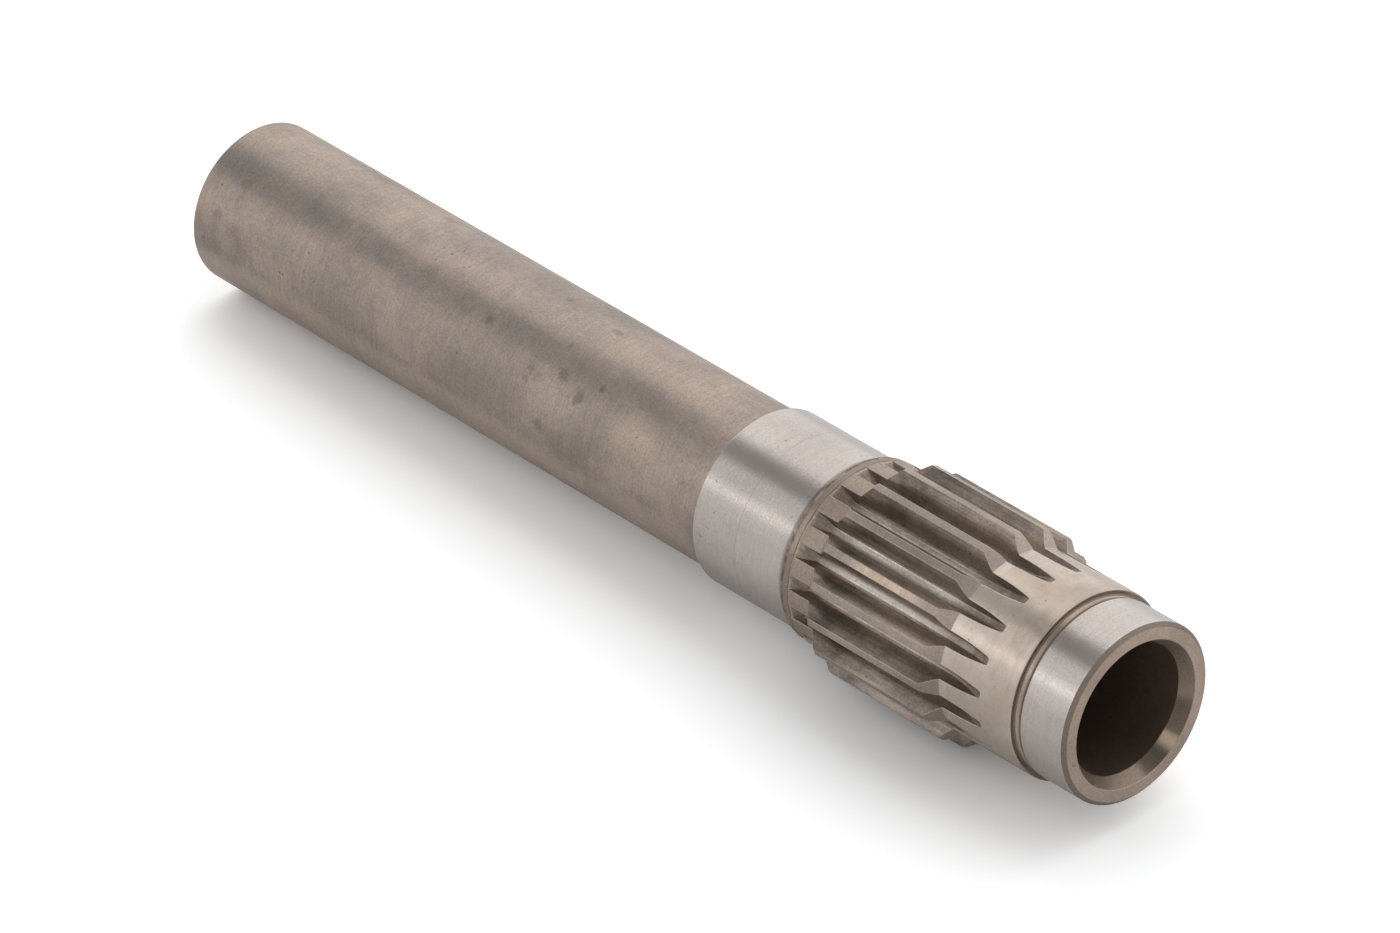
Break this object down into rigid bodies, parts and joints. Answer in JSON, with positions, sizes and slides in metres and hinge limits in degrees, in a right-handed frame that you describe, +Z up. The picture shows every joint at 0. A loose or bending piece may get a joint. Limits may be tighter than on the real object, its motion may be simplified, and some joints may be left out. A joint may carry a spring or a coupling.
{
  "type": "gear shaft",
  "caption": "Hollow steel gear shaft: a short spur gear with cutter run-outs between ground bearing seats, and a long plain shank behind, bored right through.",
  "frame": {"origin": "on the shaft's axis, at half its length", "axes": "+X along the shaft towards the gear end, +Z up through the middle of a tooth space, +Y across"},
  "size_m": [0.342, 0.06, 0.0594],
  "materials": {
    "steel": "matt stained shank and gear, ground bearing seats"
  },
  "bodies": {
    "root": {"gear_shaft": "steel"}
  },
  "joints": []
}
